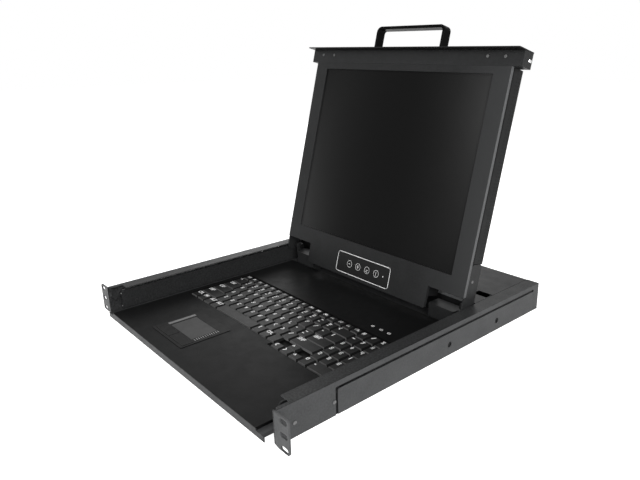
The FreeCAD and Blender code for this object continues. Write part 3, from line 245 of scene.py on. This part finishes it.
def powder(name, base, rough, spec=0.5, shade=None, edge=EDGE):
    """Powder coat: fine orange peel and specks, slight tone and gloss changes, soft edges.

    shade gives (mask, tone, unlit) rows of painted light and shade: an unlit place is also kept
    free of gloss."""
    n = Nodes(name)
    p = n.principled(specular=spec * GLOSS)
    dark, light = grey(base * 0.86, TINT), grey(base * 1.16, TINT)
    colour = n.mix(n.ramp(n.noise(scale=35.0, detail=4.0), low=0.0, high=1.0), dark, light)
    # Painted light and shade from the shade rows; an unlit row also turns its place metallic, so
    # its dark tone keeps no gloss.
    for mask, tone, unlit in shade(n) if shade else ():
        colour = n.mix(mask, colour, grey(tone, TINT))
        if unlit:
            n.link(mask, p.inputs["Metallic"])
    speck = n.ramp(n.noise(SPECK_SCALE, detail=2.0), low=0.0, high=SPECK)
    n.link(n.mix(speck, colour, grey(base * SPECK_TONE, TINT)), p.inputs["Base Color"])
    n.link(n.ramp(n.noise(scale=60.0), rough - 0.05, rough + 0.05), p.inputs["Roughness"])
    peel = n.noise(scale=1400.0, detail=2.0)
    n.link(n.bump(peel, strength=0.25, distance=0.0002, edge=edge), p.inputs["Normal"])
    return n.mat


def rail_shade(n):
    """Painted shade: a dark line around the outer panel, in the recess, and a darker top flange.
    """
    recess = n.near(n.math("ABSOLUTE", n.axis("X")), RECESS_X, RECESS_REACH)
    flange = n.math("GREATER_THAN", n.axis("Z"), FLANGE_Z)
    return (recess, RECESS_SHADE_TONE, True), (flange, FLANGE_SHADE_TONE, False)


def tray_wall_shade(n):
    """Painted shade: the upright walls of the tray darker than its front lip."""
    return ((n.outside(TRAY_WALL_X), TRAY_WALL_SHADE_TONE, False),)


def bezel_painted_light(n):
    """Painted light on the right part of the bezel and a painted highlight on the folded rim at
    its sides.
    """
    soft = n.math("MULTIPLY", n.math("SUBTRACT", n.axis("X"), BEZEL_LIGHT_X), BEZEL_LIGHT_RATE,
                  clamp=True)
    return (soft, BEZEL_RIGHT_LIGHT_TONE, False), (n.outside(BEZEL_RIM_X), BEZEL_RIM_HIGHLIGHT_TONE, False)


def box_front_painted_light(n):
    """Painted light on the upper front wall of the rear box, seen through the hinge notches."""
    wall = n.near(n.axis("Y"), BOX_FRONT_Y, BOX_FRONT_REACH)
    high = n.math("GREATER_THAN", n.axis("Z"), BOX_FRONT_Z)
    lit = n.math("MULTIPLY", n.math("MULTIPLY", wall, high), n.inside(BOX_FRONT_X))
    return ((lit, BOX_FRONT_LIGHT_TONE, False),)


def ear_leg_shade(n):
    """Painted shade on the legs of the ears, inside the rails."""
    return ((n.inside(EAR_LEG_X), EAR_LEG_SHADE_TONE, False),)


def shell_hole_and_gap_shade(n):
    """Painted shade: two rows of small air holes in the shell's sides, drawn as dark dots, and the
    dark gap behind the bezel's rim.
    """
    c, s = math.cos(TILT), math.sin(TILT)
    turn = n.add("ShaderNodeMapping", vector_type="POINT")
    n.set(turn, Rotation=(TILT, 0.0, 0.0),
          Location=(0.0, HINGE_N - HINGE.y * c + HINGE.z * s, 0.0))
    n.link(n.coords(), turn.inputs["Vector"])
    split = n.add("ShaderNodeSeparateXYZ")
    n.link(turn.outputs[0], split.inputs[0])
    depth, rise = split.outputs["Y"], split.outputs["Z"]
    side = n.outside(SHELL_SIDE_X)
    away = []
    for value in (depth, rise):
        cell = n.math("FRACT", n.math("MULTIPLY", value, 1.0 / DOT_PITCH))
        away.append(n.math("POWER", n.math("SUBTRACT", cell, 0.5), 2.0))
    dot = n.math("LESS_THAN", n.math("ADD", *away), DOT_SIZE)
    rows = n.near(depth, DOT_ROWS * DOT_PITCH, DOT_PITCH)
    dots = n.math("MULTIPLY", n.math("MULTIPLY", dot, side), rows)
    gap = n.math("MULTIPLY", side, n.math("LESS_THAN", depth, SHELL_GAP))
    return (dots, HOLE_SHADE_TONE, False), (gap, HOLE_SHADE_TONE, True)


def metal(name, base, rough):
    """Plated or brushed steel with fine streaks."""
    n = Nodes(name)
    p = n.principled(metallic=1.0)
    streak = n.add("ShaderNodeMapping")
    n.set(streak, Scale=(160.0, 6.0, 160.0))
    n.link(n.coords(), streak.inputs["Vector"])
    lines = n.noise(scale=1.0, detail=2.0, rough=0.6, vector=streak.outputs[0])
    n.link(n.mix(n.ramp(lines, low=0.0, high=1.0), grey(base * 0.85), grey(base * 1.1)),
           p.inputs["Base Color"])
    n.link(n.ramp(n.noise(scale=90.0), rough - 0.06, rough + 0.08), p.inputs["Roughness"])
    n.link(n.bump(lines, strength=0.02, distance=0.0001), p.inputs["Normal"])
    return n.mat


def plastic(name, base, rough, spec=0.5, edge=0.0, front=0.0):
    """Moulded plastic with a fine grain. Keys get painted light on their fronts and painted shade
    on their flanks.
    """
    n = Nodes(name)
    p = n.principled(specular=spec * GLOSS)
    dark, light = grey(base * 0.9), grey(base * 1.1)
    colour = n.mix(n.ramp(n.noise(scale=50.0), low=0.0, high=1.0), dark, light)
    if front:
        facing = n.add("ShaderNodeSeparateXYZ")
        n.link(n.add("ShaderNodeNewGeometry").outputs["True Normal"], facing.inputs[0])
        before = n.math("LESS_THAN", facing.outputs["Y"], KEY_FRONT_SLOPE)
        colour = n.mix(before, colour, grey(front))
        shaded_flank = n.math("GREATER_THAN", n.math("ABSOLUTE", facing.outputs["X"]), KEY_FLANK_SLOPE)
        colour = n.mix(shaded_flank, colour, grey(KEY_FLANK_SHADE_TONE))
    n.link(colour, p.inputs["Base Color"])
    n.link(n.ramp(n.noise(scale=120.0), rough - 0.04, rough + 0.04), p.inputs["Roughness"])
    grain = n.noise(scale=2200.0, detail=2.0)
    n.link(n.bump(grain, strength=0.15, distance=0.0001, edge=edge), p.inputs["Normal"])
    return n.mat


def screen_face(name):
    """Dark anti-glare display face, with a painted sheen at its sides."""
    n = Nodes(name)
    p = n.principled(specular=0.25 * GLOSS)
    sweep = n.math("MULTIPLY", n.math("ABSOLUTE", n.axis("X")), SHEEN_RATE)
    sweep = n.math("POWER", sweep, SHEEN_POWER)
    slant = n.math("MULTIPLY", n.axis("X"), n.math("SUBTRACT", n.axis("Z"), SLANT_Z))
    slant = n.math("ADD", n.math("MULTIPLY", slant, SLANT_RATE), SLANT_LEVEL, clamp=True)
    soft = n.math("MULTIPLY", n.math("MULTIPLY", sweep, slant),
                  n.ramp(n.noise(scale=8.0, detail=2.0), low=0.9, high=1.1), clamp=True)
    n.link(n.mix(soft, grey(SCREEN_TONE), grey(SCREEN_PAINTED_SHEEN_TONE)), p.inputs["Base Color"])
    n.link(n.ramp(n.noise(scale=900.0, detail=2.0), low=0.30, high=0.36),
           p.inputs["Roughness"])
    n.link(n.bump(n.noise(scale=5000.0, detail=1.0), strength=0.05, distance=0.00005),
           p.inputs["Normal"])
    return n.mat


def ink(name, value):
    """Screen printed legend ink; also the tone of a painted highlight."""
    n = Nodes(name)
    p = n.principled()
    worn = n.ramp(n.noise(scale=900.0, detail=2.0), low=0.0, high=1.0)
    n.link(n.mix(worn, grey(value * 0.85), grey(value)), p.inputs["Base Color"])
    n.link(n.ramp(n.noise(scale=300.0), low=0.5, high=0.6), p.inputs["Roughness"])
    return n.mat


# Name, base tone, roughness.
M = {
    "rail": powder("rail_paint", 0.042, 0.46, shade=rail_shade),
    "panel": powder("panel_paint", 0.042, 0.44),
    "ear": powder("ear_paint", 0.056, 0.44, shade=ear_leg_shade),
    "tray": powder("tray_paint", 0.004, 0.42, spec=0.2),
    "box": powder("box_paint", 0.012, 0.42, spec=0.45, shade=box_front_painted_light),
    "pan": powder("pan_paint", 0.030, 0.42, spec=0.45, shade=tray_wall_shade),
    "wall": powder("wall_paint", 0.018, 0.45),
    "bezel": powder("bezel_paint", 0.013, 0.42, shade=bezel_painted_light, edge=SOFT_EDGE),
    "arm": powder("arm_paint", 0.015, 0.42, edge=SOFT_EDGE),
    "plate": powder("plate_paint", 0.006, 0.42),
    "shell": powder("shell_paint", 0.008, 0.5, spec=0.4, shade=shell_hole_and_gap_shade),
    "handle": plastic("handle_coat", 0.0025, 0.30, spec=0.1, edge=BOW_EDGE),
    "steel": metal("slide_steel", 0.6, 0.28),
    "screw": metal("screw_zinc", 0.15, 0.32),
    "bright": metal("bright_zinc", 0.75, 0.2),
    "key": plastic("key_caps", 0.011, 0.42, front=KEY_FRONT_LIGHT_TONE),
    "base": plastic("keyboard_base", 0.003, 0.5, spec=0.3),
    "pad_frame": plastic("pad_frame", 0.003, 0.45, spec=0.3),
    "pad": plastic("pad_surface", 0.045, 0.5),
    "film": plastic("overlay_film", 0.010, 0.35),
    "board": plastic("board_mask", 0.03, 0.4),
    "screen": screen_face("screen_face"),
    "ink": ink("legend_ink", 0.92),
    "painted_highlight": ink("painted_highlight_grey", 0.13),
    "ink_soft": ink("legend_ink_soft", 0.40),
}

# The material of every CAD node.
PAINT = {
    "rail": "rack_rail_left rack_rail_right rear_tie",
    "panel": "outer_panel_left outer_panel_right",
    "ear": "ear_left ear_right",
    "tray": "tray_cover rear_panel",
    "pan": "tray_pan",
    "box": "rear_cover",
    "wall": "hinge_block_left hinge_block_right slide_rivets drawer_rivets",
    "bezel": "lcd_bezel",
    "arm": "hinge_arm_left hinge_arm_right top_bar",
    "plate": "front_plate",
    "shell": "lcd_rear_shell hinge_shafts",
    "handle": "handle",
    "steel": "slide_outer_left slide_outer_right slide_middle_left slide_middle_right "
             "slide_inner_left slide_inner_right outer_ball_cages inner_ball_cages "
             "outer_balls inner_balls rear_sockets lcd_brackets",
    "screw": "ear_screws drawer_screws head_screws",
    "bright": "latch_bolt_left latch_bolt_right",
    "key": "function_keys main_keys space_bar arrow_keys numpad_keys",
    "base": "keyboard_base keyboard_membrane",
    "pad_frame": "touchpad_frame touchpad_button_left touchpad_button_right",
    "pad": "touchpad_surface",
    "film": "osd_overlay osd_button_1 osd_button_2 osd_button_3 osd_button_4 indicator_lights",
    "screen": "lcd_panel",
    "board": "controller_board lcd_driver_board",
}
for material, names in PAINT.items():
    for name in names.split():
        data = NODES[name].data
        data.materials.clear()
        data.materials.append(M[material])

# ---------------------------------------------------------------- printed marks and a painted highlight
# All sizes of the marks are in millimetres.
MARK_LIFT = 0.04             # over the face that carries the mark
LETTER_STEP = 0.62           # width of a letter, of its height
LETTER_PITCH = 0.93          # from letter to letter, of their height
LEGEND_LEFT, LEGEND_DROP = 1.8, 1.6          # from a key top's rear left corner
LEGEND_TALL, LEGEND_TALL_FUNCTION, LEGEND_STROKE = 4.8, 2.8, 1.5
LEGEND_MARGIN = 1.2
LOWER_DROP, LOWER_TALL, LOWER_STROKE = 8.6, 3.6, 1.4
DOUBLE_KEYS = "1234567890-="                 # keys with a second sign, below the first

ICON_X = (105.8, 122.3, 137.3)
ICON_HALF, ICON_FRONT, ICON_REAR, ICON_STROKE = 2.2, 240.6, 243.4, 1.0

# A painted highlight on the left wall of the touchpad's recess.
BAR_LEFT, BAR_RIGHT, BAR_FRONT, BAR_REAR = -101.0, -95.4, 38.0, 79.6
TICK_LEFT, TICK_RIGHT, TICK_FRONT, TICK_PITCH = -30.4, -25.6, 41.0, 3.2
TICK_COUNT, TICK_STROKE = 12, 0.6

OSD_DEPTH, SIGN_DEPTH = -0.45, -0.75         # before the bezel's face
OSD_CORNERS = ((55.8, 16.1), (-55.8, 16.1), (-55.8, -8.5), (55.8, -8.5))
OSD_ROUND, OSD_STROKE = 4.0, 1.0
BUTTON_X, BUTTON_V = (-30.0, -10.0, 10.8, 31.5), 4.3
BUTTON_RING, RING_STROKE = 5.4, 0.55
PILOT_X, PILOT_V, PILOT_RADIUS = 47.0, 3.5, 1.1
RING_SIDES, DISC_SIDES, BORDER_STEP = 20, 12, 15
SIGNS = "-+=|"
SIGN_LEFT, SIGN_TOP, SIGN_TALL, SIGN_STROKE = 1.6, 6.9, 5.2, 0.8

# Strokes join the nine places of a small grid, numbered like a number pad.
STROKES = {
    "A": "1793,46", "B": "17931,46", "C": "9713", "D": "17861", "E": "9713,46",
    "F": "971,46", "G": "971365", "H": "17,46,39", "I": "28", "J": "8214", "K": "17,943",
    "L": "713", "M": "17593", "N": "1739", "O": "17931", "P": "17964", "Q": "17931,53",
    "R": "17964,53", "S": "974631", "T": "79,82", "U": "7139", "V": "729", "W": "71539",
    "X": "73,91", "Y": "759,52", "Z": "7913", "0": "17931", "1": "82", "2": "796413",
    "3": "7931,46", "4": "746,93", "5": "974631", "6": "971364", "7": "791",
    "8": "17931,46", "9": "647931", "-": "46", "+": "46,82", "/": "19", ".": "12",
    "<": "943", ">": "761", "^": "486", "=": "46,13", "|": "82", "*": "73,91",
}
KEY_WORDS = {
    "function_keys": "ESC F1 F2 F3 F4 F5 F6 F7 F8 F9 F10 F11 F12 PR SC PA DEL",
    "main_keys": "^ 1 2 3 4 5 6 7 8 9 0 - = < TAB Q W E R T Y U I O P / . | CAP A S D F G H J K L "
                 ". - ENT SHF Z X C V B N M < > / SHF CTL FN ALT ALT | CTL",
    "arrow_keys": "^ < > ^",
    "numpad_keys": "N / * - 7 8 9 + 4 5 6 1 2 3 E 0 .",
}


class Marks:
    """Flat printed strokes, or a painted highlight, gathered in one mesh on one plane."""

    def __init__(self, name, place, material, body):
        self.name, self.place, self.material, self.body = name, place, material, body
        self.verts, self.faces = [], []

    def line(self, points, width, closed=False):
        if closed:
            points = list(points) + [points[0]]
        for (ax, ay), (bx, by) in zip(points, points[1:]):
            half = width / 2.0 / max(math.hypot(bx - ax, by - ay), 1e-6)
            ux, uy = (bx - ax) * half, (by - ay) * half
            self.patch([(ax - ux + uy, ay - uy - ux), (bx + ux + uy, by + uy - ux),
                        (bx + ux - uy, by + uy + ux), (ax - ux - uy, ay - uy + ux)])

    def patch(self, corners):
        start = len(self.verts)
        self.verts += [self.place(x, y) for x, y in corners]
        self.faces.append(tuple(range(start, start + len(corners))))

    def ring(self, x, y, radius, width):
        self.line(circle(x, y, radius, RING_SIDES), width, closed=True)

    def disc(self, x, y, radius):
        self.patch(circle(x, y, radius, DISC_SIDES))

    def word(self, text, x, y, height, width):
        """Characters from the left at x, their tops at y."""
        step = height * LETTER_STEP
        for i, letter in enumerate(text):
            left = x + i * height * LETTER_PITCH
            for path in STROKES[letter].split(","):
                self.line([(left + ((int(c) - 1) % 3) * step / 2.0,
                            y - height + ((int(c) - 1) // 3) * height / 2.0) for c in path],
                          width)

    def make(self):
        data = bpy.data.meshes.new(self.name)
        data.from_pydata(self.verts, [], self.faces)
        data.materials.append(M[self.material])
        ob = bpy.data.objects.new(self.name, data)
        scene.collection.objects.link(ob)
        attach(ob, self.body)


def circle(x, y, radius, count):
    """Points around a circle."""
    turns = [2 * math.pi * i / count for i in range(count)]
    return [(x + radius * math.cos(a), y + radius * math.sin(a)) for a in turns]


def on_top(height):
    """Places marks on a level face."""
    return lambda x, y: part_point(x, y, height)


def on_head(depth):
    """Places marks (across, up the bezel) on a face parallel to the bezel."""
    return lambda x, v: head_point(x, depth, v)


def top_of(name):
    """Height just above the top of a CAD node."""
    return (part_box(name)[1].z + EAR_SHIFT_Z) * 1000.0 + MARK_LIFT


def key_tops(name):
    """Left, rear and width of every key top of a node, row by row from the back.

    The level faces at the top of the mesh are joined where their boxes touch."""
    level, touch, row = 1e-5, 1e-4, 0.004
    mesh = NODES[name].data
    high = max(v.co.z for v in mesh.vertices)
    boxes = []
    for face in mesh.polygons:
        points = [mesh.vertices[i].co for i in face.vertices]
        if min(p.z for p in points) < high - level:
            continue
        new = [min(p.x for p in points), max(p.x for p in points),
               min(p.y for p in points), max(p.y for p in points)]
        for old in [b for b in boxes if b[0] < new[1] + touch and new[0] < b[1] + touch
                    and b[2] < new[3] + touch and new[2] < b[3] + touch]:
            boxes.remove(old)
            new = [min(old[0], new[0]), max(old[1], new[1]), min(old[2], new[2]),
                   max(old[3], new[3])]
        boxes.append(new)
    boxes.sort(key=lambda b: (-round(b[3] / row), b[0]))
    return [(left * 1000.0, (rear + EAR_SHIFT_Y) * 1000.0, (right - left) * 1000.0)
            for left, right, _, rear in boxes]


for name, words in KEY_WORDS.items():
    legends = Marks(name.replace("keys", "legends"), on_top(top_of(name)), "ink",
                    NODES[name]["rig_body"])
    for (left, rear, width), word in zip(key_tops(name), words.split()):
        tall = LEGEND_TALL_FUNCTION if name == "function_keys" else LEGEND_TALL
        tall = min(tall, (width - LEGEND_MARGIN) / len(word) / LETTER_PITCH)
        legends.word(word, left + LEGEND_LEFT, rear - LEGEND_DROP, tall, LEGEND_STROKE)
        if name == "main_keys" and word in DOUBLE_KEYS:
            legends.word("-", left + LEGEND_LEFT, rear - LOWER_DROP, LOWER_TALL, LOWER_STROKE)
    legends.make()

icons = Marks("indicator_icons", on_top(top_of("tray_cover")), "ink", "drawer")
for x in ICON_X:
    icons.line([(x - ICON_HALF, ICON_FRONT), (x + ICON_HALF, ICON_FRONT),
                (x + ICON_HALF, ICON_REAR), (x - ICON_HALF, ICON_REAR)], ICON_STROKE,
               closed=True)
icons.make()

# Painted highlight: a grey bar along the left wall of the touchpad's recess.
pad_highlight = Marks("touchpad_painted_highlight", on_top(top_of("touchpad_frame")), "painted_highlight", "drawer")
pad_highlight.patch([(BAR_LEFT, BAR_FRONT), (BAR_RIGHT, BAR_FRONT), (BAR_RIGHT, BAR_REAR),
               (BAR_LEFT, BAR_REAR)])
pad_highlight.make()

ticks = Marks("touchpad_ticks", on_top(top_of("touchpad_frame")), "ink_soft", "drawer")
for i in range(TICK_COUNT):
    y = TICK_FRONT + i * TICK_PITCH
    ticks.line([(TICK_LEFT, y), (TICK_RIGHT, y)], TICK_STROKE)
ticks.make()

osd = Marks("osd_print", on_head(OSD_DEPTH), "ink", "lcd_head")
border = []
for quarter, (cx, cv) in enumerate(OSD_CORNERS):
    for degrees in range(90 * quarter, 90 * quarter + 91, BORDER_STEP):
        a = math.radians(degrees)
        border.append((cx + OSD_ROUND * math.cos(a), cv + OSD_ROUND * math.sin(a)))
osd.line(border, OSD_STROKE, closed=True)
for x in BUTTON_X:
    osd.ring(x, BUTTON_V, BUTTON_RING, RING_STROKE)
osd.disc(PILOT_X, PILOT_V, PILOT_RADIUS)
osd.make()

for i, (x, letter) in enumerate(zip(BUTTON_X, SIGNS)):
    sign = Marks("osd_sign_%d" % (i + 1), on_head(SIGN_DEPTH), "ink",
                 NODES["osd_button_%d" % (i + 1)]["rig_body"])
    sign.word(letter, x - SIGN_LEFT, SIGN_TOP, SIGN_TALL, SIGN_STROKE)
    sign.make()

# ---------------------------------------------------------------- stage and light
WHITE = (1, 1, 1, 1)
WORLD_LIGHT = 0.08
FLOOR_GLOW = 0.93            # with the light that falls on it, the floor shows white
FLOOR_HALF = 6
# Name, place, point aimed at, side of the square, watts.
LAMPS = (
    ("front", (0.3, -1.9, 1.2), (0, 0.1, 0.05), 1.2, 26),
    ("top", (0.2, 0.2, 1.9), (0, 0.2, 0.0), 1.6, 14),
    ("right", (1.8, -0.5, 0.7), (0.1, 0.1, 0.05), 1.2, 40),
    ("back_left", (-1.7, 1.7, 0.8), (0, 0.2, 0.05), 1.4, 9),
)


def show(tree, lit, seen, out):
    """Shows one shader to the camera, in gloss and through glass, and lights with another."""
    path = tree.nodes.new("ShaderNodeLightPath")
    total = path.outputs["Is Camera Ray"]
    for name in ("Is Glossy Ray", "Is Transmission Ray"):
        either = tree.nodes.new("ShaderNodeMath")
        either.operation = "MAXIMUM"
        tree.links.new(total, either.inputs[0])
        tree.links.new(path.outputs[name], either.inputs[1])
        total = either.outputs[0]
    mixer = tree.nodes.new("ShaderNodeMixShader")
    for socket, source in zip(mixer.inputs, (total, lit.outputs[0], seen.outputs[0])):
        tree.links.new(source, socket)
    tree.links.new(mixer.outputs[0], out.inputs["Surface"])


# The backdrop is white to the camera and in reflections, and a soft grey as light.
world = bpy.data.worlds.new("studio")
world.use_nodes = True
world.node_tree.nodes.clear()
backgrounds = []
for strength in (WORLD_LIGHT, 1.0):
    background = world.node_tree.nodes.new("ShaderNodeBackground")
    background.inputs["Color"].default_value = WHITE
    background.inputs["Strength"].default_value = strength
    backgrounds.append(background)
show(world.node_tree, *backgrounds, world.node_tree.nodes.new("ShaderNodeOutputWorld"))
scene.world = world

for name, place, target, size, watts in LAMPS:
    lamp = bpy.data.lights.new(name, "AREA")
    lamp.shape = "RECTANGLE"
    lamp.size = lamp.size_y = size
    lamp.energy = watts
    ob = bpy.data.objects.new(name, lamp)
    ob.location = place
    ob.rotation_mode = "QUATERNION"
    ob.rotation_quaternion = (Vector(target) - Vector(place)).to_track_quat("-Z", "Y")
    scene.collection.objects.link(ob)

# The floor takes the object's shadow under its glow.
floor_mesh = bpy.data.meshes.new("floor")
floor_mesh.from_pydata([(x * FLOOR_HALF, y * FLOOR_HALF, -EAR_SHIFT_Z)
                        for x, y in ((-1, -1), (1, -1), (1, 1), (-1, 1))], [], [(0, 1, 2, 3)])
floor = bpy.data.objects.new("floor", floor_mesh)
scene.collection.objects.link(floor)
n = Nodes("floor_white")
glow = n.set(n.add("ShaderNodeEmission"), Color=WHITE, Strength=FLOOR_GLOW)
matt = n.add("ShaderNodeBsdfDiffuse")
n.link(n.mix(n.noise(scale=3.0), grey(0.80), grey(0.84)), matt.inputs["Color"])
both = n.add("ShaderNodeAddShader")
n.link(glow.outputs[0], both.inputs[0])
n.link(matt.outputs[0], both.inputs[1])
show(n.tree, matt, both, n.out)
floor_mesh.materials.append(n.mat)

# ---------------------------------------------------------------- camera
CAMERA_PLACE = (0.64804, -0.27798, 0.36252)
AZIMUTH, ELEVATION, ROLL = (math.radians(a) for a in (47.4644, 17.8671, -0.5385))
SENSOR, LENS = 36.0, 33.394                  # millimetres
SHIFT_X, SHIFT_Y = -0.0644, -0.0045

forward = Vector((-math.sin(AZIMUTH) * math.cos(ELEVATION),
                  math.cos(AZIMUTH) * math.cos(ELEVATION), -math.sin(ELEVATION)))
level = Vector((math.cos(AZIMUTH), math.sin(AZIMUTH), 0.0))
upright = level.cross(forward)
right = level * math.cos(ROLL) + upright * math.sin(ROLL)
up = upright * math.cos(ROLL) - level * math.sin(ROLL)

cam_data = bpy.data.cameras.new("camera")
cam = bpy.data.objects.new("camera", cam_data)
scene.collection.objects.link(cam)
scene.camera = cam
cam.matrix_world = (Matrix.Translation(CAMERA_PLACE)
                    @ Matrix((right, up, -forward)).transposed().to_4x4())
cam_data.sensor_width = SENSOR
cam_data.lens = LENS
cam_data.shift_x = SHIFT_X
cam_data.shift_y = SHIFT_Y
cam_data.clip_start = 0.01
cam_data.clip_end = 30.0

scene.view_settings.view_transform = "Standard"
